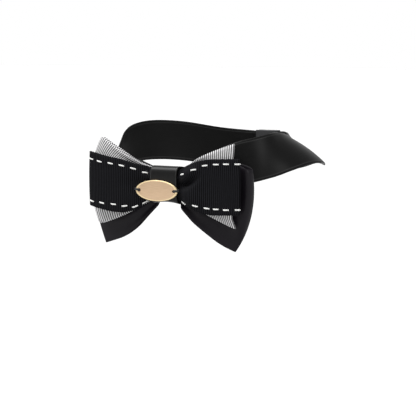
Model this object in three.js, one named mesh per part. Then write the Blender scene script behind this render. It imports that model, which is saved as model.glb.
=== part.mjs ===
// A bow tie for a dog: three ribbon bows, one behind another, gathered by a wrap on a neck band.
// Millimetres. +Z is up and the bow faces -Y. The origin is on the axis of the neck, level with the
// middle of the bow.
import * as THREE from "three";
import { LoftGeometry } from "three/addons/geometries/LoftGeometry.js";

// Driving dimensions.
const WALL = 1;
const CLEAR = 0.3;
const STITCHED_WIDTH = 25;
const GREY_WIDTH = 40;
const SATIN_WIDTH = 38;
const BAND_WIDTH = 20;
const WRAP_WIDTH = 14.2;
const WRAP_HEIGHT = 16.6;
const PLATE_LENGTH = 21.8;
const PLATE_HEIGHT = 9.4;
const PLATE_THICK = 0.9;
const PLATE_DROP = 2.5;
const PLATE_SHIFT = -2.8;
const HOLE_SPACING = 18.2;
const HOLE_WIDTH = 1.4;
const CLASP_LENGTH = 12;
const CLASP_HEIGHT = 21;
const CLASP_DEPTH = 4;
const CLASP_GRIP = 3.5;
const CLASP_SLOT = 2.2;

// The layers at the gathered middle: each lies in front of the last, in the same pleats.
const LAYER_PITCH = 1.43;
const BAND_Y = -46.6;
const BAND_PINCH = 10.4;
const PLEAT = 0.5;
const PLEAT_LENGTH = 7;
const KNOT = WRAP_WIDTH / 2 + CLEAR;
const LOOSE = 5;
const TUCK = 2.4;
const TUCK_LENGTH = 12;
const RISE_LENGTH = 16;
const SAG_LENGTH = 8;

// How finely the cloth is faceted.
const KNOT_STEPS = 2;
const LOBE_STEPS = 20;
const BAND_STEPS = 40;
const CROSS_STEPS = 8;

// One row for each bow. pinch: its height inside the wrap. layer: the place of its back layer,
// counted forward from the band.
const BOWS = [
  { name: "satin_bow", width: SATIN_WIDTH, pinch: 11.5, layer: 1.1, colour: 0x1b191c, rough: 0.4 },
  { name: "grey_bow", width: GREY_WIDTH, pinch: 13.4, layer: 3.3, colour: 0xb4b3b6, rough: 0.8 },
  { name: "stitched_bow", width: STITCHED_WIDTH, pinch: 13, layer: 5.3, colour: 0x15161a, rough: 0.7 },
];

// One row for each lobe. reach: middle to fold. lift: slope of the lobe in degrees. turned: how soon
// it has its slope. sag: how far its middle hangs. front, back: how far each layer bulges. sweep: how
// far it stands behind the middle by SWEEP_AT. full: where the ribbon has its whole width. swell: how
// early it widens. round, hollow: how far the fold's corners, or its middle, stand back, as a share of
// reach. tilt: how far its upper corner stands out. crease: depth of the pinch beside the wrap.
const SWEEP_AT = 40;
const RIGHT = 1;
const LEFT = -1;
const LOBES = [
  { bow: "satin_bow", side: RIGHT, reach: 41.7, lift: -16.9, turned: 5, sag: -1.8, front: 0, back: 2.5,
    sweep: 3.4, full: 34.7, swell: 0.88, round: 0.088, hollow: 0, tilt: -0.028, crease: 0 },
  { bow: "satin_bow", side: LEFT, reach: 44.8, lift: -14.7, turned: 5, sag: -0.9, front: 0, back: 1.5,
    sweep: 3.4, full: 37, swell: 1, round: 0.038, hollow: 0, tilt: -0.009, crease: 0 },
  { bow: "grey_bow", side: RIGHT, reach: 34.4, lift: 1, turned: 9, sag: -0.75, front: 0.9, back: 0.5,
    sweep: 2.6, full: 37.3, swell: 0.18, round: 0, hollow: 0.032, tilt: 0.023, crease: 0 },
  { bow: "grey_bow", side: LEFT, reach: 41.8, lift: 2, turned: 9, sag: 1.4, front: 0.9, back: 0.5,
    sweep: 2.6, full: 35, swell: 0.11, round: 0.1, hollow: 0, tilt: 0.012, crease: 0 },
  { bow: "stitched_bow", side: RIGHT, reach: 39.2, lift: 1.2, turned: 9, sag: 0.3, front: 1.2, back: 0,
    sweep: 0.9, full: 25, swell: 0.72, round: 0.01, hollow: 0, tilt: 0.002, crease: 0.4 },
  { bow: "stitched_bow", side: LEFT, reach: 40.2, lift: 2.4, turned: 9, sag: 1.9, front: 2, back: 0,
    sweep: 0.9, full: 26.5, swell: 1, round: 0.01, hollow: 0, tilt: 0.013, crease: 0.4 },
];

// One row for each section of the band, by its bearing round the neck: 0 is +X, -90 the front.
// radius and height place its middle; lean tips the upper edge towards the neck, in degrees.
const BAND = [
  { bearing: -270, radius: 46.0, height: 9.5, lean: 0 },
  { bearing: -262, radius: 46.4, height: 9.5, lean: 0 },
  { bearing: -240, radius: 47.8, height: 11.0, lean: 5 },
  { bearing: -215, radius: 49.5, height: 14.3, lean: 5 },
  { bearing: -195, radius: 50.6, height: 15.2, lean: 5 },
  { bearing: -178, radius: 51.4, height: 13.7, lean: 8 },
  { bearing: -168, radius: 51.9, height: 10.9, lean: 12 },
  { bearing: -160, radius: 52.2, height: 7.0, lean: 15 },
  { bearing: -150, radius: 51.8, height: 2.5, lean: 12 },
  { bearing: -130, radius: 49.3, height: 0.4, lean: 5 },
  { bearing: -114, radius: 47.2, height: 0.0, lean: 2 },
  { bearing: -98, radius: 47.1, height: 0.0, lean: 0 },
  { bearing: -90, radius: 46.6, height: 0.0, lean: 0 },
  { bearing: -82, radius: 47.1, height: 0.0, lean: 0 },
  { bearing: -66, radius: 46.9, height: 5.2, lean: 0.7 },
  { bearing: -54, radius: 49.4, height: 9.5, lean: 1.7 },
  { bearing: -44, radius: 50.8, height: 11.6, lean: 7.7 },
  { bearing: -35, radius: 49.9, height: 13.2, lean: 12.7 },
  { bearing: -25, radius: 47.8, height: 14.6, lean: 31.9 },
  { bearing: -12, radius: 45.4, height: 15.0, lean: 48.8 },
  { bearing: 3, radius: 43.4, height: 13.7, lean: 56.4 },
  { bearing: 20, radius: 41.0, height: 12.0, lean: 52.7 },
  { bearing: 45, radius: 39.6, height: 12.0, lean: 48 },
  { bearing: 68, radius: 43.4, height: 10.6, lean: 22 },
  { bearing: 82, radius: 46.4, height: 9.5, lean: 0 },
  { bearing: 90, radius: 46.0, height: 9.5, lean: 0 },
];

const { clamp, degToRad, lerp, radToDeg, smoothstep } = THREE.MathUtils;

// A column of a table at a place between its rows, along a smooth curve.
function read(rows, key, column, at) {
  const last = rows.length - 1;
  let i = rows.findIndex((row) => row[key] >= at) - 1;
  i = Math.min(Math.max(i, 0), last - 1);
  const [a, b, c, d] = [i - 1, i, i + 1, i + 2].map((n) => rows[Math.min(Math.max(n, 0), last)]);
  const step = c[key] - b[key];
  const t = (at - b[key]) / step;
  const inTo = ((c[column] - a[column]) / (c[key] - a[key])) * step;
  const outOf = ((d[column] - b[column]) / (d[key] - b[key])) * step;
  const rise = c[column] - b[column];
  const bend = 3 * rise - 2 * inTo - outOf;
  const twist = inTo + outOf - 2 * rise;
  return b[column] + t * (inTo + t * (bend + t * twist));
}

// How much of its width a gathered ribbon has got back at a distance from the middle.
function spreadAt(distance, full, swell) {
  const t = clamp((distance - KNOT) / (full - KNOT), 0, 1);
  return t * (1 + swell * (1 - t));
}

// How far a layer has come free of the wrap, from 0 inside it to 1.
function freeAt(distance, length) {
  return smoothstep(distance, KNOT, KNOT + length);
}

// How far a pleat moves the cloth back, at a height inside the wrap.
function pleatAt(height, distance) {
  return PLEAT * (1 - freeAt(distance, LOOSE)) * Math.cos((2 * Math.PI * height) / PLEAT_LENGTH);
}

// How far the wrap draws the layers back towards the neck.
function tuckAt(distance) {
  return TUCK * (1 - freeAt(distance, TUCK_LENGTH));
}

// The middle of a bow's cloth. turn runs from 0, the front layer at the middle, by PI / 2, the fold,
// to PI, the back layer at the middle. across runs from -1 to 1 over the ribbon's width.
function bowPoint(bow, lobe, turn, across) {
  const setBack = lobe.round * across ** 2 + lobe.hollow * (1 - across ** 2) ** 2 - lobe.tilt * across;
  const distance = lobe.reach * (1 - setBack) * Math.sin(turn);
  const width = lerp(bow.pinch, bow.width, spreadAt(distance, lobe.full, lobe.swell));
  const up = (width / 2) * across;
  const front = Math.cos(turn) > 0;
  const free = freeAt(distance, RISE_LENGTH);
  const bulge = (front ? lobe.front : lobe.back) * Math.sin(2 * turn) * free;
  const crease = front ? lobe.crease * 4 * free * (1 - free) * Math.cos(2 * Math.PI * across) : 0;
  const swept = lobe.sweep * (distance / SWEEP_AT) ** 2;
  const layer = LAYER_PITCH * (bow.layer + 0.5 + Math.cos(turn) / 2);
  const y = BAND_Y - layer - bulge + crease + swept + tuckAt(distance) + pleatAt(up, distance);
  const slope = degToRad(lobe.lift) * freeAt(distance, lobe.turned);
  const x = distance * Math.cos(slope) - up * Math.sin(slope);
  const arch = Math.sin(Math.PI * Math.min(distance / lobe.reach, 1));
  const sunk = lobe.sag * arch * freeAt(distance, SAG_LENGTH);
  const z = distance * Math.sin(slope) + up * Math.cos(slope) - sunk;
  return new THREE.Vector3(lobe.side * x, y, z);
}

// The middle of the band's cloth at a bearing, gathered where it passes behind the bows.
function bandPoint(bearing, across) {
  const angle = degToRad(bearing);
  const radius = read(BAND, "bearing", "radius", bearing);
  const lean = degToRad(read(BAND, "bearing", "lean", bearing));
  const away = Math.abs(bearing + 90) * degToRad(radius);
  const up = (lerp(BAND_PINCH, BAND_WIDTH, spreadAt(away, 20, 0.5)) / 2) * across;
  const flat = radius - up * Math.sin(lean) - tuckAt(away) - pleatAt(up, away);
  const height = read(BAND, "bearing", "height", bearing) + up * Math.cos(lean);
  return new THREE.Vector3(flat * Math.cos(angle), flat * Math.sin(angle), height);
}

// Even steps through each stretch between the given stops.
function stepsThrough(stops, counts) {
  const steps = [stops[0]];
  counts.forEach((count, n) => {
    for (let i = 1; i <= count; i += 1) steps.push(lerp(stops[n], stops[n + 1], i / count));
  });
  return steps;
}

// One section of a cloth wall: up one face of the cloth and down the other.
function wallSection(point, along) {
  const small = 1e-3;
  const faces = [1, -1].map((face) => {
    const points = [];
    for (let i = 0; i <= CROSS_STEPS; i += 1) {
      const across = face * (1 - (2 * i) / CROSS_STEPS);
      const run = point(along + small, across).sub(point(along - small, across));
      const rise = point(along, across + small).sub(point(along, across - small));
      const normal = run.cross(rise).normalize();
      points.push(point(along, across).addScaledVector(normal, (face * WALL) / 2));
    }
    return points;
  });
  return faces.flat();
}

function cloth(colour, rough) {
  return new THREE.MeshStandardMaterial({ color: colour, roughness: rough, metalness: 0 });
}

function named(name, geometry, material) {
  const mesh = new THREE.Mesh(geometry, material);
  mesh.name = name;
  return mesh;
}

// The sections of one lobe, from its front layer at the middle to its back layer there.
function lobeSections(bow, side) {
  const lobe = LOBES.find((row) => row.bow === bow.name && row.side === side);
  const [knot, loose] = [KNOT, KNOT + LOOSE].map((distance) => Math.asin(distance / lobe.reach));
  const stops = [0, knot, loose, Math.PI - loose, Math.PI - knot, Math.PI];
  const turns = stepsThrough(stops, [KNOT_STEPS, KNOT_STEPS, LOBE_STEPS, KNOT_STEPS, KNOT_STEPS]);
  const point = (t, v) => bowPoint(bow, lobe, side === RIGHT ? t : Math.PI - t, v);
  return turns.map((turn) => wallSection(point, turn));
}

// A ribbon sewn into a loop: out along the right front, back behind, and round the left lobe.
function makeBow(bow) {
  const right = lobeSections(bow, RIGHT);
  const left = lobeSections(bow, LEFT);
  const sections = [...right, ...left.slice(1, -1), right[0]];
  return named(bow.name, new LoftGeometry(sections), cloth(bow.colour, bow.rough));
}

// The band starts and ends inside the clasp.
function makeBand() {
  const end = radToDeg((CLASP_LENGTH / 2 - CLASP_GRIP + CLEAR) / BAND[0].radius);
  const knot = radToDeg(KNOT / -BAND_Y);
  const stops = [-270 + end, -90 - knot, -90 + knot, 90 - end];
  const bearings = stepsThrough(stops, [BAND_STEPS, 2 * KNOT_STEPS, BAND_STEPS]);
  const sections = bearings.map((bearing) => wallSection(bandPoint, bearing));
  const geometry = new LoftGeometry(sections, { capStart: true, capEnd: true });
  return named("neck_band", geometry, cloth(0x1a191a, 0.45));
}

function roundedBox(shape, width, height, corner) {
  const [x, y] = [width / 2, height / 2];
  shape.moveTo(x - corner, -y);
  shape.absarc(x - corner, corner - y, corner, -Math.PI / 2, 0);
  shape.absarc(x - corner, y - corner, corner, 0, Math.PI / 2);
  shape.absarc(corner - x, y - corner, corner, Math.PI / 2, Math.PI);
  shape.absarc(corner - x, corner - y, corner, Math.PI, 1.5 * Math.PI);
  shape.closePath();
  return shape;
}

// The wrap is a ring of ribbon round the layers.
const LAYERS_FRONT = BAND_Y + TUCK - LAYER_PITCH * (BOWS[2].layer + 1);
const WRAP_FRONT = LAYERS_FRONT - PLEAT - 1.5 * WALL - CLEAR;
const WRAP_BACK = BAND_Y + TUCK + PLEAT + 1.5 * WALL + CLEAR;
const WRAP_CORNER = 3;
function makeWrap() {
  const depth = WRAP_BACK - WRAP_FRONT;
  const inside = [depth - 2 * WALL, WRAP_HEIGHT - 2 * WALL, WRAP_CORNER - WALL];
  const shape = roundedBox(new THREE.Shape(), depth, WRAP_HEIGHT, WRAP_CORNER);
  shape.holes.push(roundedBox(new THREE.Path(), ...inside));
  const geometry = new THREE.ExtrudeGeometry(shape, {
    depth: WRAP_WIDTH,
    bevelEnabled: false,
    curveSegments: 5,
  });
  geometry.translate(0, 0, -WRAP_WIDTH / 2);
  geometry.rotateY(Math.PI / 2);
  geometry.rotateX(Math.PI / 2);
  geometry.translate(0, (WRAP_FRONT + WRAP_BACK) / 2, 0);
  return named("centre_wrap", geometry, cloth(0x1d1c1e, 0.45));
}

// The plate hangs by its two holes in front of the wrap, a little below the middle.
function makePlate() {
  const rim = 0.25;
  const shape = new THREE.Shape();
  shape.absellipse(0, 0, PLATE_LENGTH / 2 - rim, PLATE_HEIGHT / 2 - rim, 0, 2 * Math.PI);
  for (const side of [-1, 1]) {
    const hole = new THREE.Path();
    hole.absarc((side * HOLE_SPACING) / 2, 0, HOLE_WIDTH / 2 + rim, 0, 2 * Math.PI, true);
    shape.holes.push(hole);
  }
  const geometry = new THREE.ExtrudeGeometry(shape, {
    depth: PLATE_THICK - 2 * rim,
    bevelSize: rim,
    bevelThickness: rim,
    bevelSegments: 1,
    curveSegments: 20,
  });
  geometry.translate(0, 0, rim - PLATE_THICK / 2);
  geometry.rotateX(Math.PI / 2);
  geometry.translate(PLATE_SHIFT, WRAP_FRONT - CLEAR - PLATE_THICK / 2, -PLATE_DROP);
  const gold = new THREE.MeshStandardMaterial({ color: 0xd8b98c, roughness: 0.35, metalness: 1 });
  return named("name_plate", geometry, gold);
}

// The clasp is a block with a slot in each end, which grips an end of the band.
function makeClasp() {
  const [x, y] = [CLASP_LENGTH / 2, CLASP_DEPTH / 2];
  const slot = CLASP_SLOT / 2;
  const web = x - CLASP_GRIP;
  const shape = new THREE.Shape();
  shape.moveTo(-x, -y);
  shape.lineTo(x, -y);
  shape.lineTo(x, -slot);
  shape.lineTo(web, -slot);
  shape.lineTo(web, slot);
  shape.lineTo(x, slot);
  shape.lineTo(x, y);
  shape.lineTo(-x, y);
  shape.lineTo(-x, slot);
  shape.lineTo(-web, slot);
  shape.lineTo(-web, -slot);
  shape.lineTo(-x, -slot);
  shape.closePath();
  const geometry = new THREE.ExtrudeGeometry(shape, { depth: CLASP_HEIGHT, bevelEnabled: false });
  geometry.translate(0, BAND[0].radius, BAND[0].height - CLASP_HEIGHT / 2);
  const plastic = new THREE.MeshStandardMaterial({ color: 0x202022, roughness: 0.5, metalness: 0 });
  return named("band_clasp", geometry, plastic);
}

const bowTie = new THREE.Group();
bowTie.add(makeBand(), ...BOWS.map(makeBow), makeWrap(), makePlate(), makeClasp());
export default bowTie;
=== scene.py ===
"""A bow tie for a dog: three ribbon bows, gathered by a wrap on a neck band, dressed over their solids."""
import bisect
import math

import bmesh
import bpy
from mathutils import Matrix, Vector


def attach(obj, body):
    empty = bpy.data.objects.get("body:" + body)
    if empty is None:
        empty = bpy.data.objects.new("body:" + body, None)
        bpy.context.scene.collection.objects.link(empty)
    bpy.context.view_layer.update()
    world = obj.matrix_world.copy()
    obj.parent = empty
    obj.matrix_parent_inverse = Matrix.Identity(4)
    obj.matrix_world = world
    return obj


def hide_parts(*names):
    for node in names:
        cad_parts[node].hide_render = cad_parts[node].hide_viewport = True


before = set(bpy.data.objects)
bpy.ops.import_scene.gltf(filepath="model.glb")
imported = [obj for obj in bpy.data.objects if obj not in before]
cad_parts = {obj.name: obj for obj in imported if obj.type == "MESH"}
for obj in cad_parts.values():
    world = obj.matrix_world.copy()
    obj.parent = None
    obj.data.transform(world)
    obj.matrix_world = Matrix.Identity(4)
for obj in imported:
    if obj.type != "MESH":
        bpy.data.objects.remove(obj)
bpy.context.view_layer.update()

# Sizes are in millimetres until a piece is finished.
MM = 0.001

# The camera: where it stands, and where the origin of the frame lies in the picture.
IMAGE_PX = 416
FOCAL_PX = 1600
ORIGIN_PX = (223, 176.3)
CAMERA_AZIMUTH = 30
CAMERA_ELEVATION = 6
CAMERA_DISTANCE = 766
SENSOR = 36
CLIP_NEAR = 0.05
CLIP_FAR = 50

# The surround: white on the far side, and dim from there round to the near side. How far a direction
# looks to the near side, from -1 to 1, says which it is.
NEAR_SIDE = (0.5, -0.86, 0.1)
WHITE_UP_TO = -0.96
DIM_FROM = -0.7
DIM_STRENGTH = 0.4

# The floor, in metres: its half width, how far below the origin it lies, and where its near grey
# starts and ends to turn into the far one.
FLOOR_REACH = 20
FLOOR_DROP = 0.35
FLOOR_TURN = (0.4, 1)
FLOOR_ROUGHNESS = 0.9

# The lamps: energy, width in degrees, tilt from straight down, and turn from the front to the right.
LAMPS = [
    ("key", 4.2, 45, 28, -45),
    ("side", 0.9, 25, 68, 80),
]

# The ribbons as they are cut.
STITCHED_WIDTH = 25
GREY_WIDTH = 40
SATIN_WIDTH = 38
BAND_WIDTH = 20
WRAP_WIDTH = 14.2

# The layers at the gathered middle: each lies in front of the last, in the same pleats.
LAYER_PITCH = 1.43
BAND_Y = -46.6
BAND_PINCH = 10.4
PLEAT = 0.5
PLEAT_LENGTH = 7
KNOT = 7.4
LOOSE = 5
TUCK = 2.4
TUCK_LENGTH = 12
RISE_LENGTH = 16
SAG_LENGTH = 8
SWEEP_AT = 40
TURN_LEAD = 2
GATHER_END = 0.85
RIGHT = 1
LEFT = -1

# One row for each bow. pinch: its height inside the wrap. layer: the place of its back layer.
# thick: the ribbon. rib: pitch of its ribs. relief: how far they stand out. picot: of its edge.
# gather, folds: depth of the folds that run out from the wrap, and how many lie across the ribbon.
# columns, rows: how finely the cloth is divided along and across it. A ribbed one has RIB_COLUMNS a rib.
BOWS = {
    "satin_bow": dict(width=SATIN_WIDTH, pinch=11.5, layer=1.1, thick=0.36, rib=0, relief=0, picot=0,
                      gather=0.5, folds=5, columns=480, rows=26),
    "grey_bow": dict(width=GREY_WIDTH, pinch=13.4, layer=3.3, thick=0.34, rib=0.92, relief=0.14,
                     picot=0.4, gather=0.68, folds=5, columns=0, rows=22),
    "stitched_bow": dict(width=STITCHED_WIDTH, pinch=14.2, layer=5.3, thick=0.34, rib=0.96, relief=0.12,
                         picot=0.36, gather=0.1, folds=2, columns=0, rows=24),
}
RIB_COLUMNS = 6
RIB_ROUND = 0.6
EDGE_FROM = 0.9
MERGE = 1e-4
SMALL_STEP = 0.02

# One row for each lobe. reach: middle to fold. lift: slope of the lobe in degrees. sag: how far its
# middle hangs. droop: how much further the back layer hangs. front, back: how far each layer bulges.
# sweep: how far it stands behind the middle by SWEEP_AT. full: where the ribbon has its whole width.
# swell: how early it widens. round, hollow: how far the fold's corners, or its middle, stand back, as
# a share of reach. tilt, flare: how far its upper corner, or its lower one, stands out, likewise.
# turned: how soon it has its slope. curl: how far its lower edge comes forward beside the wrap.
# bulb: how far the front layer swells out beside the fold. fan: how far its ribs bend along the ribbon
# at its upper edge, and FAN_LOWER times as far at the lower one.
PLAIN = dict(droop=0, front=0, back=0, round=0, hollow=0, flare=0, curl=0, bulb=0, fan=0)
LOBES = {
    ("satin_bow", RIGHT): dict(PLAIN, reach=41.7, lift=-16.9, sag=-1.8, back=2.5, sweep=3.4, full=34.7,
                               swell=0.88, round=0.088, tilt=-0.028, turned=3, curl=4, bulb=17),
    ("satin_bow", LEFT): dict(PLAIN, reach=44.8, lift=-14.7, sag=-0.9, back=1.5, sweep=3.4, full=37,
                              swell=1, round=0.038, tilt=-0.009, turned=3),
    ("grey_bow", RIGHT): dict(PLAIN, reach=33.5, lift=1, sag=-0.75, front=0.9, back=0.5, sweep=2.6,
                              full=37.3, swell=0.18, hollow=0.032, tilt=0.023, flare=0.045, turned=9),
    ("grey_bow", LEFT): dict(PLAIN, reach=42.6, lift=2, sag=1.4, front=0.9, back=0.5, sweep=2.6, full=35,
                             swell=0.11, round=0.135, tilt=-0.004, turned=9, fan=5.5),
    ("stitched_bow", RIGHT): dict(PLAIN, reach=39.2, lift=1.2, sag=0.3, droop=0.2, front=0.4, sweep=0.9,
                                  full=25, swell=0.72, round=0.01, tilt=0.002, turned=9),
    ("stitched_bow", LEFT): dict(PLAIN, reach=40.2, lift=2.4, sag=1.9, droop=0.5, front=2, sweep=0.9,
                                 full=26.5, swell=1, round=0.01, tilt=0.013, turned=9),
}
BULB_POWER = 10
BULB_FADE = (0.2, 0.9)
FLARE_FROM = 0.8
CURL_FROM = 0.3
CURL_LENGTH = 27
FAN_LOWER = 1.45
FAN_FADE = (0.2, 0.6)

# The pinch in the front bow beside the wrap, by lobe. across and climb: where it leaves the wrap
# and how it rises over the ribbon for each millimetre out. deep, wide: of the dent. puff: of its banks.
PINCHES = {
    RIGHT: dict(across=-0.1, climb=0.042, deep=1.3, wide=0.18, puff=2.2),
    LEFT: dict(across=0.05, climb=0.01, deep=0.5, wide=0.3, puff=0.2),
}
PINCH_PEAK = 5
PINCH_LENGTH = 15
BANK_FROM = 0.6

# One row for each section of the band, by its bearing round the neck: 0 is +X, FRONT the bow's.
# radius and height place its middle. lean tips the upper edge towards the neck, in degrees.
FRONT = -90
BAND_COLUMNS = ("bearing", "radius", "height", "lean")
BAND = [
    (-270, 46.0, 9.5, 0),
    (-262, 46.4, 9.5, 0),
    (-240, 47.8, 11.0, 5),
    (-215, 49.5, 14.3, 5),
    (-195, 50.6, 15.2, 5),
    (-178, 51.4, 13.7, 8),
    (-168, 51.9, 10.9, 12),
    (-160, 52.2, 7.0, 15),
    (-150, 51.8, 2.5, 12),
    (-130, 49.3, 0.4, 5),
    (-114, 47.2, 0.0, 2),
    (-98, 47.1, 0.0, 0),
    (-90, 46.6, 0.0, 0),
    (-82, 47.1, 0.0, 0),
    (-66, 46.9, 5.2, 0.7),
    (-54, 49.4, 9.5, 1.7),
    (-44, 50.8, 11.6, 7.7),
    (-35, 49.9, 13.2, 12.7),
    (-25, 47.8, 14.6, 31.9),
    (-12, 45.4, 15.0, 48.8),
    (3, 43.4, 13.7, 56.4),
    (20, 41.0, 12.0, 52.7),
    (45, 39.6, 12.0, 48),
    (68, 43.4, 10.6, 22),
    (82, 46.4, 9.5, 0),
    (90, 46.0, 9.5, 0),
]
BAND_THICK = 0.8
BAND_FULL = 20
BAND_SWELL = 0.5
BAND_END = 3.5

# The band's middle stands out by BAND_CROWN, from CROWN_AT_BOW and CROWN_AT_NAPE on.
BAND_CROWN = 0.8
CROWN_AT_BOW = (10, 30)
CROWN_AT_NAPE = (8, 30)

# How finely the band and the wrap are divided, along and across.
BAND_GRID = (420, 20)
WRAP_GRID = (160, 20)

# The wrap's ring, the plate that is sewn on it, and the clasp at the nape.
WRAP_FRONT = -54.9
WRAP_BACK = -41.9
WRAP_TOP = 9.1
WRAP_FALL = 1.8
WRAP_BOTTOM = 7.9
WRAP_ARCH = 0.8
WRAP_THICK = 0.5
WRAP_CORNER = 0.47
PLATE_LENGTH = 21.8
PLATE_HEIGHT = 9.4
PLATE_THICK = 0.9
PLATE_SHIFT = -2.8
PLATE_DROP = 2.5
PLATE_Y = -55.7
PLATE_RIM = 0.16
# Where the plate's painted rim highlight begins, as a share of the way out to its edge.
RIM_HIGHLIGHT_FROM = 0.91
PLATE_SIDES = 120
HOLE_SIDES = 24
PLATE_SHARP = 32
HOLE_SPACING = 18.2
HOLE_WIDTH = 1.4
CLASP_LENGTH = 12
CLASP_HEIGHT = 21
CLASP_DEPTH = 4
CLASP_GRIP = 3.5
CLASP_SLOT = 2.2
CLASP_ROUND = 0.35
CLASP_SHARP = 40
CLASP_Y = 46
CLASP_Z = 9.5

# The saddle stitches along both edges of the front bow, sewn by hand: for each edge of each lobe, how
# far along the ribbon from its middle each one is, and how far in from the edge.
UPPER = 1
LOWER = -1
STITCHES = {
    (RIGHT, UPPER): [(10.6, 3.3), (18.3, 3.4), (23.9, 2.6), (29.5, 2.4), (34.4, 2.3), (39.9, 2.4)],
    (RIGHT, LOWER): [(10.2, 0.9), (18.8, 2.8), (24.5, 2.9), (29.1, 2.8), (34.1, 2.5), (39.8, 2.5)],
    (LEFT, UPPER): [(10.3, 3.1), (16.2, 2.6), (21.9, 2.8), (27.9, 3.0), (34.3, 3.3), (39.6, 3.3)],
    (LEFT, LOWER): [(10.4, 0.5), (15.2, 1.1), (20.2, 2.6), (26.0, 3.6), (32.8, 3.1), (39.2, 2.5)],
}
STITCH_PITCH = 5.9
STITCH_INSET = 2.7
STITCH_LENGTH = 2.6
STITCH_PLY = 0.22
STITCH_TURNS = 1.5
STITCH_RISE = 1.6
STITCH_SWAY = 0.75
STITCH_CLEAR = 0.05

# The threads that tie the plate down: how far past its end they go in, what share of a half turn they
# start before and end after, how far apart their plies lie and how they slope.
TIE_PLY = 0.31
TIE_PAST = 0.3
TIE_TURN = (-0.1, 1.1)
TIE_APART = 0.8
TIE_SLOPE = 0.2
THREAD_ROUND = 0.5

# Colours, in linear light.
BAND_BLACK = (0.004, 0.004, 0.004), (0.008, 0.008, 0.008)
BOW_BLACK = (0.0062, 0.005, 0.007), (0.0105, 0.0088, 0.0118)
# The ribbed ones give a groove colour, then a crown colour: the dark grooves are partly the weave's own
# tone and partly painted shade.
RIBBED_BLACK = (0.0012, 0.0012, 0.0015), (0.011, 0.011, 0.0134)
RIBBED_GREY = (0.07, 0.07, 0.071), (0.76, 0.752, 0.76)
# A painted highlight: the light line along the satin selvages, where light catches that edge.
SELVAGE_HIGHLIGHT = (0.025, 0.025, 0.025)
FLOOR_NEAR = (0.4, 0.4, 0.4)
FLOOR_FAR = (0.64, 0.64, 0.64)
GOLD_DARK = (0.66, 0.47, 0.305)
GOLD_LIGHT = (0.79, 0.585, 0.395)
# A painted highlight: the lighter gold of the rim stands for the polished bevel's reflection.
GOLD_RIM_HIGHLIGHT = (0.97, 0.78, 0.48)
WHITE_THREAD = (0.86, 0.86, 0.84)
BLACK_THREAD = (0.006, 0.006, 0.006)
PLASTIC_BLACK = (0.012, 0.012, 0.013), (0.018, 0.018, 0.02)

# Where a noise turns from dark to light, and where a rib turns from its groove to its crown; the dark
# groove is partly the weave's own tone and partly painted shade.
NOISE_TURN = (0.3, 0.7)
RIB_TURN = (0.19, 0.31)
THREAD_SHADE = 0.8

# The painted highlight line along a satin ribbon's selvage, where light catches that edge: how far it lies
# in from the edge, and its width.
BAND_SELVAGE = 0.9
WRAP_SELVAGE = 0.3
SELVAGE_WIDE = 0.35


# Cloth surfaces

def blend(low, high, share):
    return low + (high - low) * share


def clamp(value):
    return min(max(value, 0), 1)


def ease(value, low, high):
    """Smoothly from 0 at low to 1 at high."""
    t = clamp((value - low) / (high - low))
    return t * t * (3 - 2 * t)


def spread_at(distance, full, swell):
    """How much of its width a gathered ribbon has got back at a distance from the middle."""
    t = clamp((distance - KNOT) / (full - KNOT))
    return t * (1 + swell * (1 - t))


def free_at(distance, length):
    """How far a layer has come free of the wrap, from 0 inside it to 1."""
    return ease(distance, KNOT, KNOT + length)


def pleat_at(height, distance):
    """How far a pleat moves the cloth back, at a height inside the wrap."""
    return PLEAT * (1 - free_at(distance, LOOSE)) * math.cos(math.tau * height / PLEAT_LENGTH)


def tuck_at(distance):
    """How far the wrap draws the layers back towards the neck."""
    return TUCK * (1 - free_at(distance, TUCK_LENGTH))


def pinch_at(side, distance, across):
    """How far the front layer of the front bow is pinched in beside the wrap, and puffed out round that."""
    row = PINCHES[side]
    out = distance - KNOT
    fade = ease(out, 0, PINCH_PEAK) * (1 - ease(out, PINCH_PEAK, PINCH_LENGTH))
    off = (across - row["across"] - row["climb"] * out) / row["wide"]
    bank = 1 - ease(abs(across), BANK_FROM, 1)
    return fade * ((row["deep"] + row["puff"]) * math.exp(-off * off) - row["puff"] * bank)


def bow_point(bow, side, turn, across):
    """The middle of a bow's cloth. turn is 0 in the middle of the front layer, and pi of the back one."""
    row = BOWS[bow]
    lobe = LOBES[bow, side]
    set_back = lobe["round"] * across ** 2 + lobe["hollow"] * (1 - across ** 2) ** 2
    out = lobe["tilt"] * across + lobe["flare"] * ease(-across, FLARE_FROM, 1)
    distance = lobe["reach"] * (1 - set_back + out) * math.sin(turn)
    up = blend(row["pinch"], row["width"], spread_at(distance, lobe["full"], lobe["swell"])) / 2 * across
    front = math.cos(turn) > 0
    y = BAND_Y - LAYER_PITCH * (row["layer"] + 0.5 + math.cos(turn) / 2)
    y -= lobe["front" if front else "back"] * math.sin(2 * turn) * free_at(distance, RISE_LENGTH)
    y += lobe["sweep"] * (distance / SWEEP_AT) ** 2
    bulb = lobe["bulb"] * (1 - ease(-across, *BULB_FADE))
    y -= bulb * math.sin(turn) ** BULB_POWER * max(math.cos(turn), 0)
    y += tuck_at(distance) + pleat_at(up, distance) + gather_at(row, lobe, distance, across)
    if front and bow == "stitched_bow":
        y += pinch_at(side, distance, across)
    y -= lobe["curl"] * ease(-across, CURL_FROM, 1) * (1 - ease(distance, KNOT, CURL_LENGTH))
    slope = math.radians(lobe["lift"]) * ease(distance, KNOT - TURN_LEAD, KNOT + lobe["turned"])
    hang = lobe["sag"] + (0 if front else lobe["droop"])
    sunk = hang * math.sin(math.pi * min(distance / lobe["reach"], 1)) * free_at(distance, SAG_LENGTH)
    return Vector((
        side * (distance * math.cos(slope) - up * math.sin(slope)),
        y,
        distance * math.sin(slope) + up * math.cos(slope) - sunk,
    ))


def gather_at(row, lobe, distance, across):
    """How far the folds that run out from under the wrap move the cloth, until they fade near the fold."""
    fade = 1 - ease(distance, KNOT + LOOSE, GATHER_END * lobe["reach"])
    return row["gather"] * fade * math.cos(math.pi * row["folds"] * across)


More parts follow.
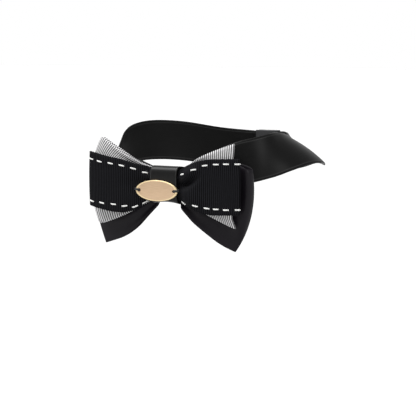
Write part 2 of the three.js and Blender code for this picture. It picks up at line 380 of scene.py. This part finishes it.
def band_value(column, bearing):
    """A column of the band's table at a bearing, along a smooth curve."""
    n = BAND_COLUMNS.index(column)
    i = min(max(bisect.bisect_left([row[0] for row in BAND], bearing) - 1, 0), len(BAND) - 2)
    a, b, c, d = (BAND[min(max(k, 0), len(BAND) - 1)] for k in range(i - 1, i + 3))
    step = c[0] - b[0]
    t = (bearing - b[0]) / step
    into = (c[n] - a[n]) / (c[0] - a[0]) * step
    out = (d[n] - b[n]) / (d[0] - b[0]) * step
    rise = c[n] - b[n]
    return b[n] + t * (into + t * (3 * rise - 2 * into - out + t * (into + out - 2 * rise)))


def band_point(bearing, across):
    """The middle of the band's cloth at a bearing, gathered where it passes behind the bows."""
    angle = math.radians(bearing)
    radius = band_value("radius", bearing)
    lean = math.radians(band_value("lean", bearing))
    away = abs(bearing - FRONT) * math.radians(radius)
    up = blend(BAND_PINCH, BAND_WIDTH, spread_at(away, BAND_FULL, BAND_SWELL)) / 2 * across
    to_nape = (180 - abs(bearing - FRONT)) * math.radians(radius)
    crown = BAND_CROWN * (1 - across ** 2) * ease(away, *CROWN_AT_BOW) * ease(to_nape, *CROWN_AT_NAPE)
    flat = radius - up * math.sin(lean) + crown * math.cos(lean) - tuck_at(away) - pleat_at(up, away)
    height = band_value("height", bearing) + up * math.cos(lean) + crown * math.sin(lean)
    return Vector((flat * math.cos(angle), flat * math.sin(angle), height))


def wrap_point(angle, across):
    """The middle of the wrap's cloth, by the angle round its ring from the back, up over the top."""
    c, s = math.cos(angle), math.sin(angle)
    depth = (WRAP_BACK - WRAP_FRONT - WRAP_THICK) / 2
    out = math.copysign(abs(c) ** WRAP_CORNER, c)
    height = WRAP_TOP - WRAP_FALL * (1 + out) / 2 if s > 0 else WRAP_BOTTOM + WRAP_ARCH * across ** 2
    return Vector((
        WRAP_WIDTH / 2 * across,
        (WRAP_FRONT + WRAP_BACK) / 2 + depth * out,
        (height - WRAP_THICK / 2) * math.copysign(abs(s) ** WRAP_CORNER, s),
    ))


class Run:
    """A ribbon by the length along it: point(run, across) is the middle of its cloth."""

    def __init__(self, point, start, stop, steps=1200):
        self.surface = point
        self.places = [blend(start, stop, i / steps) for i in range(steps + 1)]
        self.runs = [0]
        for a, b in zip(self.places, self.places[1:]):
            self.runs.append(self.runs[-1] + (point(b, 0) - point(a, 0)).length)
        self.length = self.runs[-1]

    def point(self, run, across):
        i = min(max(bisect.bisect_left(self.runs, run) - 1, 0), len(self.runs) - 2)
        share = (run - self.runs[i]) / (self.runs[i + 1] - self.runs[i])
        return self.surface(blend(self.places[i], self.places[i + 1], share), across)

    def bend(self, run, across):
        """Its ribs run straight across."""
        return 0


class Loop:
    """A bow's ribbon: from the middle of the front out round the right lobe, then round the left one."""

    def __init__(self, bow):
        self.right = Run(lambda turn, across: bow_point(bow, RIGHT, turn, across), 0, math.pi)
        self.left = Run(lambda turn, across: bow_point(bow, LEFT, turn, across), 0, math.pi)
        self.length = self.right.length + self.left.length
        self.fans = {side: LOBES[bow, side]["fan"] for side in (RIGHT, LEFT)}

    def point(self, run, across):
        run %= self.length
        if run <= self.right.length:
            return self.right.point(run, across)
        return self.left.point(self.length - run, across)

    def bend(self, run, across):
        """How far a rib is bent along the loop, but not at the wrap or at the folds."""
        share = across ** 2 if across > 0 else FAN_LOWER * ease(-across, *FAN_FADE)
        if run <= self.right.length:
            return -self.fans[RIGHT] * share * math.sin(math.tau * run / self.right.length)
        return self.fans[LEFT] * share * math.sin(math.tau * (self.length - run) / self.left.length)


def upright(ribbon, run, across):
    """The way that the outer face of a ribbon looks."""
    along = ribbon.point(run + SMALL_STEP, across) - ribbon.point(run - SMALL_STEP, across)
    rise = ribbon.point(run, across + SMALL_STEP) - ribbon.point(run, across - SMALL_STEP)
    return along.cross(rise).normalized()


# Meshes

def wall_section(rows, edge):
    """(across, face) round a cloth wall: up its outer face, over one edge, down the inner face and back."""
    outer = [(2 * i / rows - 1, 1) for i in range(rows + 1)]
    inner = [(-across, -1) for across, face in outer]
    return outer + [(1 + edge, 0)] + inner + [(-1 - edge, 0)] + outer[:1]


def finish_piece(name, bm, material, node=None):
    """Makes the piece an object at the origin, in metres, which rides on the part."""
    bmesh.ops.scale(bm, vec=(MM, MM, MM), verts=bm.verts)
    mesh = bpy.data.meshes.new(name)
    bm.to_mesh(mesh)
    bm.free()
    mesh.shade_smooth()
    mesh.materials.append(material)
    piece = bpy.data.objects.new(name, mesh)
    bpy.context.scene.collection.objects.link(piece)
    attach(piece, "root")
    if node:
        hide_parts(node)
    return piece


def rib_at(run, pitch):
    """The height of a rib, from 0 in the groove to 1 on its crown."""
    return abs(math.sin(math.pi * run / pitch)) ** RIB_ROUND if pitch else 0


def weave_wall(ribbon, width, thick, columns, rows, rib=0, relief=0, picot=0):
    """A ribbon's cloth as a closed thin wall, with its ribs and the little loops along its edges."""
    bm = bmesh.new()
    section = wall_section(rows, thick / width)
    bmesh.ops.create_grid(bm, x_segments=columns, y_segments=len(section) - 1, size=1)
    cloth = bm.loops.layers.uv.new("cloth")
    spots = {}
    for vert in bm.verts:
        run = (vert.co.x + 1) / 2 * ribbon.length
        across, face = section[round((vert.co.y + 1) / 2 * (len(section) - 1))]
        spots[vert] = (run, across, face)
    for face in bm.faces:
        for loop in face.loops:
            run, across, _ = spots[loop.vert]
            loop[cloth].uv = (run / (rib or 1), across * width / 2)
    for vert, (run, across, face) in spots.items():
        crown = rib_at(run, rib)
        edge = ease(abs(across), EDGE_FROM, 1)
        wide = across * (1 - thick / width - 2 * edge * picot * (1 - crown) / width)
        lift = thick / 2 + relief * (crown - 0.5) * (1 + edge)
        bent = run + ribbon.bend(run, across)
        vert.co = ribbon.point(bent, wide) + upright(ribbon, bent, wide) * face * lift
    bmesh.ops.remove_doubles(bm, verts=bm.verts, dist=MERGE)
    bmesh.ops.recalc_face_normals(bm, faces=bm.faces)
    return bm


# Finishes

def new_finish(name):
    material = bpy.data.materials.new(name)
    material.use_nodes = True
    tree = material.node_tree
    return material, tree, tree.nodes["Principled BSDF"]


def join(tree, output, target):
    tree.links.new(output, target)


def cloth_place(tree):
    """The ribbon's own place, in ribs or millimetres along it and millimetres across it."""
    place = tree.nodes.new("ShaderNodeUVMap")
    place.uv_map = "cloth"
    return place.outputs["UV"]


def stretched_noise(tree, place, scale, detail=3):
    """A noise with its own scale in each direction."""
    mapping = tree.nodes.new("ShaderNodeMapping")
    mapping.inputs["Scale"].default_value = scale
    texture = tree.nodes.new("ShaderNodeTexNoise")
    texture.inputs["Scale"].default_value = 1
    texture.inputs["Detail"].default_value = detail
    join(tree, place, mapping.inputs["Vector"])
    join(tree, mapping.outputs["Vector"], texture.inputs["Vector"])
    return texture.outputs["Fac"]


def between(tree, value, low, high, dark, light):
    """A colour from dark to light as the value goes from low to high."""
    ramp = tree.nodes.new("ShaderNodeValToRGB")
    ramp.color_ramp.elements[0].position = low
    ramp.color_ramp.elements[0].color = (*dark, 1)
    ramp.color_ramp.elements[1].position = high
    ramp.color_ramp.elements[1].color = (*light, 1)
    join(tree, value, ramp.inputs["Fac"])
    return ramp.outputs["Color"]


def ranged(tree, value, low, high):
    """The value, from 0 to 1, brought between low and high."""
    node = tree.nodes.new("ShaderNodeMapRange")
    node.inputs["To Min"].default_value = low
    node.inputs["To Max"].default_value = high
    join(tree, value, node.inputs["Value"])
    return node.outputs["Result"]


def bumped(tree, shader, height, distance, strength):
    bump = tree.nodes.new("ShaderNodeBump")
    bump.inputs["Strength"].default_value = strength
    bump.inputs["Distance"].default_value = distance * MM
    join(tree, height, bump.inputs["Height"])
    join(tree, bump.outputs["Normal"], shader.inputs["Normal"])


def part_of(tree, place, axis):
    """One coordinate of a place."""
    split = tree.nodes.new("ShaderNodeSeparateXYZ")
    join(tree, place, split.inputs["Vector"])
    return split.outputs[axis]


def worked(tree, operation, value, second=0.5):
    node = tree.nodes.new("ShaderNodeMath")
    node.operation = operation
    node.inputs[1].default_value = second
    join(tree, value, node.inputs[0])
    return node.outputs["Value"]


def highlight_lined(tree, colour, place, at, wide, light):
    """The colour with a painted highlight line along both edges of the ribbon, where light catches its
    selvage.
    """
    across = worked(tree, "ABSOLUTE", part_of(tree, place, "Y"))
    off = worked(tree, "ABSOLUTE", worked(tree, "SUBTRACT", across, at))
    node = tree.nodes.new("ShaderNodeMix")
    node.data_type = "RGBA"
    node.inputs["B"].default_value = (*light, 1)
    join(tree, worked(tree, "LESS_THAN", off, wide / 2), node.inputs["Factor"])
    join(tree, colour, node.inputs["A"])
    return node.outputs["Result"]


def satin(name, dark, light, roughness, specular, highlight_line_at=None):
    """Smooth satin: fine floats run along the ribbon and make its sheen uneven."""
    material, tree, shader = new_finish(name)
    place = cloth_place(tree)
    floats = stretched_noise(tree, place, (0.12, 9, 1))
    colour = between(tree, floats, *NOISE_TURN, dark, light)
    # A painted highlight line along the selvage, where light catches the edge.
    if highlight_line_at:
        colour = highlight_lined(tree, colour, place, highlight_line_at, SELVAGE_WIDE, SELVAGE_HIGHLIGHT)
    join(tree, colour, shader.inputs["Base Color"])
    join(tree, ranged(tree, floats, roughness - 0.06, roughness + 0.06), shader.inputs["Roughness"])
    bumped(tree, shader, floats, 0.03, 0.4)
    shader.inputs["Specular IOR Level"].default_value = specular
    return material


def grosgrain(name, groove_tone_and_shade, crown, roughness, specular):
    """Ribbed ribbon: each rib is darker in its grooves, partly in the weave's own tone and partly as
    painted shade, and crossed by fine warp threads.
    """
    material, tree, shader = new_finish(name)
    place = cloth_place(tree)
    rib = worked(tree, "PINGPONG", part_of(tree, place, "X"))
    # Painted shade: the groove colour darkens each rib's groove beyond the cloth's own tone.
    join(tree, between(tree, rib, *RIB_TURN, groove_tone_and_shade, crown), shader.inputs["Base Color"])
    threads = stretched_noise(tree, place, (2, 5, 1))
    join(tree, ranged(tree, threads, roughness - 0.08, roughness + 0.08), shader.inputs["Roughness"])
    bumped(tree, shader, threads, 0.05, 0.5)
    shader.inputs["Specular IOR Level"].default_value = specular
    return material


def thread(name, colour):
    """Twisted sewing thread."""
    material, tree, shader = new_finish(name)
    coordinates = tree.nodes.new("ShaderNodeTexCoord")
    fibres = stretched_noise(tree, coordinates.outputs["Object"], (4000, 4000, 4000))
    dark = tuple(THREAD_SHADE * c for c in colour)
    join(tree, between(tree, fibres, *NOISE_TURN, dark, colour), shader.inputs["Base Color"])
    bumped(tree, shader, fibres, 0.05, 0.4)
    shader.inputs["Roughness"].default_value = 0.6
    shader.inputs["Sheen Weight"].default_value = 0.2
    return material


def brushed_gold(name):
    """Pale gold plate, brushed along its length, with a polished rim whose brighter reflection is a painted
    highlight in its colour.
    """
    material, tree, shader = new_finish(name)
    place = tree.nodes.new("ShaderNodeTexCoord").outputs["Object"]
    lines = stretched_noise(tree, place, (250, 1, 9000))
    oval = tree.nodes.new("ShaderNodeMapping")
    oval.vector_type = "TEXTURE"
    oval.inputs["Location"].default_value = (PLATE_SHIFT * MM, PLATE_Y * MM, -PLATE_DROP * MM)
    oval.inputs["Scale"].default_value = (PLATE_LENGTH / 2 * MM, 1, PLATE_HEIGHT / 2 * MM)
    join(tree, place, oval.inputs["Vector"])
    reach = tree.nodes.new("ShaderNodeVectorMath")
    reach.operation = "LENGTH"
    join(tree, oval.outputs["Vector"], reach.inputs[0])
    # Painted highlight: the rim gets a lighter gold than the face.
    node = tree.nodes.new("ShaderNodeMix")
    node.data_type = "RGBA"
    node.inputs["B"].default_value = (*GOLD_RIM_HIGHLIGHT, 1)
    join(tree, worked(tree, "GREATER_THAN", reach.outputs["Value"], RIM_HIGHLIGHT_FROM), node.inputs["Factor"])
    join(tree, between(tree, lines, *NOISE_TURN, GOLD_DARK, GOLD_LIGHT), node.inputs["A"])
    join(tree, node.outputs["Result"], shader.inputs["Base Color"])
    join(tree, ranged(tree, lines, 0.4, 0.54), shader.inputs["Roughness"])
    bumped(tree, shader, lines, 0.01, 0.3)
    shader.inputs["Metallic"].default_value = 1
    return material


def moulded_plastic(name):
    """Plain black plastic with a fine grain."""
    material, tree, shader = new_finish(name)
    coordinates = tree.nodes.new("ShaderNodeTexCoord")
    grain = stretched_noise(tree, coordinates.outputs["Object"], (1800, 1800, 1800))
    join(tree, between(tree, grain, *NOISE_TURN, *PLASTIC_BLACK), shader.inputs["Base Color"])
    join(tree, ranged(tree, grain, 0.42, 0.55), shader.inputs["Roughness"])
    bumped(tree, shader, grain, 0.03, 0.3)
    return material


# Pieces

def make_bow(name, material):
    """A bow, with a whole number of ribs round its loop."""
    row = BOWS[name]
    loop = Loop(name)
    ribs = round(loop.length / row["rib"]) if row["rib"] else 0
    pitch = loop.length / ribs if ribs else 0
    columns = ribs * RIB_COLUMNS or row["columns"]
    bm = weave_wall(loop, row["width"], row["thick"], columns, row["rows"], pitch, row["relief"],
                    row["picot"])
    piece = finish_piece(name + "_ribbon", bm, material, name)
    return loop


def make_band(material):
    """The neck band, from one end in the clasp round the front to the other, with its cut ends closed."""
    end = math.degrees(BAND_END / BAND[0][1])
    ribbon = Run(band_point, BAND[0][0] + end, BAND[-1][0] - end)
    bm = weave_wall(ribbon, BAND_WIDTH, BAND_THICK, *BAND_GRID)
    ends = [edge for edge in bm.edges if edge.is_boundary]
    bmesh.ops.holes_fill(bm, edges=ends)
    piece = finish_piece("neck_band_ribbon", bm, material, "neck_band")


def make_wrap(material):
    """The ribbon that is wound round the gathered middle."""
    ribbon = Run(wrap_point, 0, math.tau)
    bm = weave_wall(ribbon, WRAP_WIDTH, WRAP_THICK, *WRAP_GRID)
    piece = finish_piece("centre_wrap_ribbon", bm, material, "centre_wrap")


def make_plate(material):
    """An oval plate with a bevelled rim and two sew holes."""
    bm = bmesh.new()
    middle = Matrix.Translation((0, 0, -PLATE_THICK / 2))
    oval = Matrix.Diagonal((PLATE_LENGTH / 2, PLATE_HEIGHT / 2, 1, 1))
    bmesh.ops.create_circle(bm, segments=PLATE_SIDES, radius=1, matrix=middle @ oval)
    for side in (LEFT, RIGHT):
        place = middle @ Matrix.Translation((side * HOLE_SPACING / 2, 0, 0))
        bmesh.ops.create_circle(bm, segments=HOLE_SIDES, radius=HOLE_WIDTH / 2, matrix=place)
    bmesh.ops.triangle_fill(bm, use_beauty=True, edges=bm.edges[:])
    made = bmesh.ops.extrude_face_region(bm, geom=bm.faces[:], use_keep_orig=True)
    raised = [item for item in made["geom"] if isinstance(item, bmesh.types.BMVert)]
    bmesh.ops.translate(bm, vec=(0, 0, PLATE_THICK), verts=raised)
    bmesh.ops.recalc_face_normals(bm, faces=bm.faces)
    rims = [edge for edge in bm.edges if edge.calc_face_angle(0) > 1]
    bmesh.ops.bevel(bm, geom=rims, offset=PLATE_RIM, offset_type="OFFSET", segments=3, profile=0.5,
                    affect="EDGES", material=-1, clamp_overlap=True)
    bmesh.ops.rotate(bm, cent=(0, 0, 0), matrix=Matrix.Rotation(math.pi / 2, 3, "X"), verts=bm.verts)
    bmesh.ops.translate(bm, vec=(PLATE_SHIFT, PLATE_Y, -PLATE_DROP), verts=bm.verts)
    piece = finish_piece("oval_plate", bm, material, "name_plate")
    piece.data.set_sharp_from_angle(angle=math.radians(PLATE_SHARP))


def make_clasp(material):
    """A block with rounded edges and a slot in each end for the band."""
    bm = bmesh.new()
    x = CLASP_LENGTH / 2
    y = CLASP_DEPTH / 2
    slot = CLASP_SLOT / 2
    web = x - CLASP_GRIP
    half = [(x, -y), (x, -slot), (web, -slot), (web, slot), (x, slot), (x, y)]
    outline = half + [(-a, -b) for a, b in half]
    base = bm.faces.new([bm.verts.new((a, b, 0)) for a, b in outline])
    made = bmesh.ops.extrude_face_region(bm, geom=[base], use_keep_orig=True)
    raised = [item for item in made["geom"] if isinstance(item, bmesh.types.BMVert)]
    bmesh.ops.translate(bm, vec=(0, 0, CLASP_HEIGHT), verts=raised)
    bmesh.ops.recalc_face_normals(bm, faces=bm.faces)
    bmesh.ops.bevel(bm, geom=bm.edges[:], offset=CLASP_ROUND, offset_type="OFFSET", segments=3, profile=0.5,
                    affect="EDGES", material=-1, clamp_overlap=True)
    bmesh.ops.translate(bm, vec=(0, CLASP_Y, CLASP_Z - CLASP_HEIGHT / 2), verts=bm.verts)
    piece = finish_piece("nape_clasp", bm, material, "band_clasp")
    piece.data.set_sharp_from_angle(angle=math.radians(CLASP_SHARP))


def thread_piece(name, strands, radius, material):
    """Threads as one mesh: each strand is a list of points that a round thread follows."""
    curve = bpy.data.curves.new(name, "CURVE")
    curve.dimensions = "3D"
    curve.bevel_depth = radius * MM
    curve.bevel_resolution = 1
    curve.use_fill_caps = True
    for strand in strands:
        spline = curve.splines.new("POLY")
        spline.points.add(len(strand) - 1)
        for spot, place in zip(spline.points, strand):
            spot.co = (*(place * MM), 1)
    holder = bpy.data.objects.new(name, curve)
    mesh = bpy.data.meshes.new_from_object(holder)
    bpy.data.objects.remove(holder)
    bpy.data.curves.remove(curve)
    bm = bmesh.new()
    bm.from_mesh(mesh)
    bpy.data.meshes.remove(mesh)
    bmesh.ops.scale(bm, vec=(1 / MM, 1 / MM, 1 / MM), verts=bm.verts)
    bmesh.ops.recalc_face_normals(bm, faces=bm.faces)
    return finish_piece(name, bm, material)


def stitch_strands(loop, middle, across, steps=12):
    """The two plies of one stitch, which comes out of the ribbon, lies along it and goes back in."""
    strands = []
    for ply in (0, math.pi):
        strand = []
        for i in range(steps + 1):
            share = i / steps
            run = middle + (share - 0.5) * STITCH_LENGTH
            out = upright(loop, run, across)
            spot = loop.point(run, across)
            rise = STITCH_PLY * STITCH_RISE * math.sin(math.pi * share) ** THREAD_ROUND
            twist = ply + math.tau * STITCH_TURNS * share
            sideways = (loop.point(run, across + 0.01) - spot).normalized()
            sway = STITCH_SWAY * STITCH_PLY * (math.cos(twist) * sideways + math.sin(twist) * out)
            strand.append(spot + out * (rise + STITCH_CLEAR) + sway)
        strands.append(strand)
    return strands


def make_stitches(loop, material):
    """The front's stitches as they were sewn, and even ones round the back."""
    strands = []
    for edge in (UPPER, LOWER):
        fronts = [side * run for side in (RIGHT, LEFT) for run, inset in STITCHES[side, edge]]
        insets = [inset for side in (RIGHT, LEFT) for run, inset in STITCHES[side, edge]]
        start = max(fronts) + STITCH_PITCH
        stop = loop.length + min(fronts) - STITCH_PITCH
        count = round((stop - start) / STITCH_PITCH)
        fronts += [blend(start, stop, i / count) for i in range(count + 1)]
        insets += [STITCH_INSET] * (count + 1)
        for run, inset in zip(fronts, insets):
            width = (loop.point(run, 1) - loop.point(run, -1)).length
            strands += stitch_strands(loop, run, edge * (1 - 2 * inset / width))
    thread_piece("saddle_stitches", strands, STITCH_PLY, material)


def make_ties(material, steps=24):
    """The threads that hold the plate: each comes out of a hole, lies over the plate's end and goes in."""
    strands = []
    for side in (LEFT, RIGHT):
        near = HOLE_SPACING / 2
        far = PLATE_LENGTH / 2 + TIE_PAST
        for ply in (-1, 1):
            strand = []
            for i in range(steps + 1):
                angle = blend(*TIE_TURN, i / steps) * math.pi
                x = (near + far) / 2 - (far - near) / 2 * math.cos(angle)
                rise = math.copysign(abs(math.sin(angle)) ** THREAD_ROUND, math.sin(angle))
                y = PLATE_Y - (PLATE_THICK / 2 + TIE_PLY) * rise
                z = TIE_APART * TIE_PLY * ply + TIE_SLOPE * (x - near)
                strand.append(Vector((PLATE_SHIFT + side * x, y, z - PLATE_DROP)))
            strands.append(strand)
    thread_piece("plate_ties", strands, TIE_PLY, material)


# Stage

def set_camera():
    """The camera, so turned and placed that the origin lies at ORIGIN_PX without a shift."""
    a = math.radians(CAMERA_AZIMUTH)
    e = math.radians(CAMERA_ELEVATION)
    right = Vector((math.cos(a), math.sin(a), 0))
    back = Vector((math.sin(a) * math.cos(e), -math.cos(a) * math.cos(e), math.sin(e)))
    up = back.cross(right)
    millimetres_per_px = CAMERA_DISTANCE / FOCAL_PX
    beside = (ORIGIN_PX[0] - IMAGE_PX / 2) * millimetres_per_px
    above = (IMAGE_PX / 2 - ORIGIN_PX[1]) * millimetres_per_px
    camera = bpy.data.objects.new("camera", bpy.data.cameras.new("camera"))
    camera.data.sensor_width = SENSOR
    camera.data.lens = SENSOR * FOCAL_PX / IMAGE_PX
    camera.data.clip_start = CLIP_NEAR
    camera.data.clip_end = CLIP_FAR
    axes = Matrix((right, up, back)).transposed()
    place = (CAMERA_DISTANCE * back - beside * right - above * up) * MM
    camera.matrix_world = Matrix.Translation(place) @ axes.to_4x4()
    bpy.context.scene.collection.objects.link(camera)
    bpy.context.scene.camera = camera


def set_stage():
    """A pale floor well below the bow, the surround, and soft light from the front left and the right."""
    bm = bmesh.new()
    bmesh.ops.create_grid(bm, x_segments=1, y_segments=1, size=FLOOR_REACH)
    bmesh.ops.translate(bm, vec=(0, 0, -FLOOR_DROP), verts=bm.verts)
    mesh = bpy.data.meshes.new("floor")
    bm.to_mesh(mesh)
    bm.free()
    pale, tree, shader = new_finish("pale_floor")
    place = tree.nodes.new("ShaderNodeTexCoord").outputs["Object"]
    away = tree.nodes.new("ShaderNodeVectorMath")
    away.operation = "LENGTH"
    join(tree, place, away.inputs[0])
    colour = between(tree, away.outputs["Value"], *FLOOR_TURN, FLOOR_NEAR, FLOOR_FAR)
    join(tree, colour, shader.inputs["Base Color"])
    shader.inputs["Roughness"].default_value = FLOOR_ROUGHNESS
    shader.inputs["Specular IOR Level"].default_value = 0
    mesh.materials.append(pale)
    floor = bpy.data.objects.new("floor", mesh)
    bpy.context.scene.collection.objects.link(floor)
    set_surround()
    for name, energy, width, tilt, turn in LAMPS:
        light = bpy.data.lights.new(name, "SUN")
        light.energy = energy
        light.angle = math.radians(width)
        lamp = bpy.data.objects.new(name, light)
        lamp.rotation_euler = (math.radians(tilt), 0, math.radians(turn))
        bpy.context.scene.collection.objects.link(lamp)
    bpy.context.scene.view_settings.view_transform = "Standard"


def set_surround():
    """White on the far side, and dim from there round to the near side."""
    world = bpy.data.worlds.new("surround")
    world.use_nodes = True
    tree = world.node_tree
    place = tree.nodes.new("ShaderNodeTexCoord").outputs["Generated"]
    nearness = tree.nodes.new("ShaderNodeVectorMath")
    nearness.operation = "DOT_PRODUCT"
    nearness.inputs[1].default_value = NEAR_SIDE
    join(tree, place, nearness.inputs[0])
    dim = tree.nodes.new("ShaderNodeMapRange")
    dim.inputs["From Min"].default_value = WHITE_UP_TO
    dim.inputs["From Max"].default_value = DIM_FROM
    dim.inputs["To Min"].default_value = 1
    dim.inputs["To Max"].default_value = DIM_STRENGTH
    join(tree, nearness.outputs["Value"], dim.inputs["Value"])
    background = tree.nodes["Background"]
    background.inputs["Color"].default_value = (1, 1, 1, 1)
    join(tree, dim.outputs["Result"], background.inputs["Strength"])
    bpy.context.scene.world = world


set_camera()
set_stage()
band_line = BAND_WIDTH / 2 - BAND_SELVAGE
wrap_line = WRAP_WIDTH / 2 - WRAP_SELVAGE
band_satin = satin("black_satin", *BAND_BLACK, roughness=0.4, specular=0.09, highlight_line_at=band_line)
wrap_satin = satin("wrap_satin", *BAND_BLACK, roughness=0.34, specular=0.2, highlight_line_at=wrap_line)
bow_satin = satin("charcoal_satin", *BOW_BLACK, roughness=0.42, specular=0.14)
grey_ribbed = grosgrain("grey_grosgrain", *RIBBED_GREY, roughness=0.75, specular=0.2)
black_ribbed = grosgrain("black_grosgrain", *RIBBED_BLACK, roughness=0.7, specular=0.06)
make_band(band_satin)
make_bow("satin_bow", bow_satin)
make_bow("grey_bow", grey_ribbed)
front_loop = make_bow("stitched_bow", black_ribbed)
make_wrap(wrap_satin)
make_plate(brushed_gold("brushed_gold"))
make_clasp(moulded_plastic("moulded_plastic"))
make_stitches(front_loop, thread("white_thread", WHITE_THREAD))
make_ties(thread("black_thread", BLACK_THREAD))
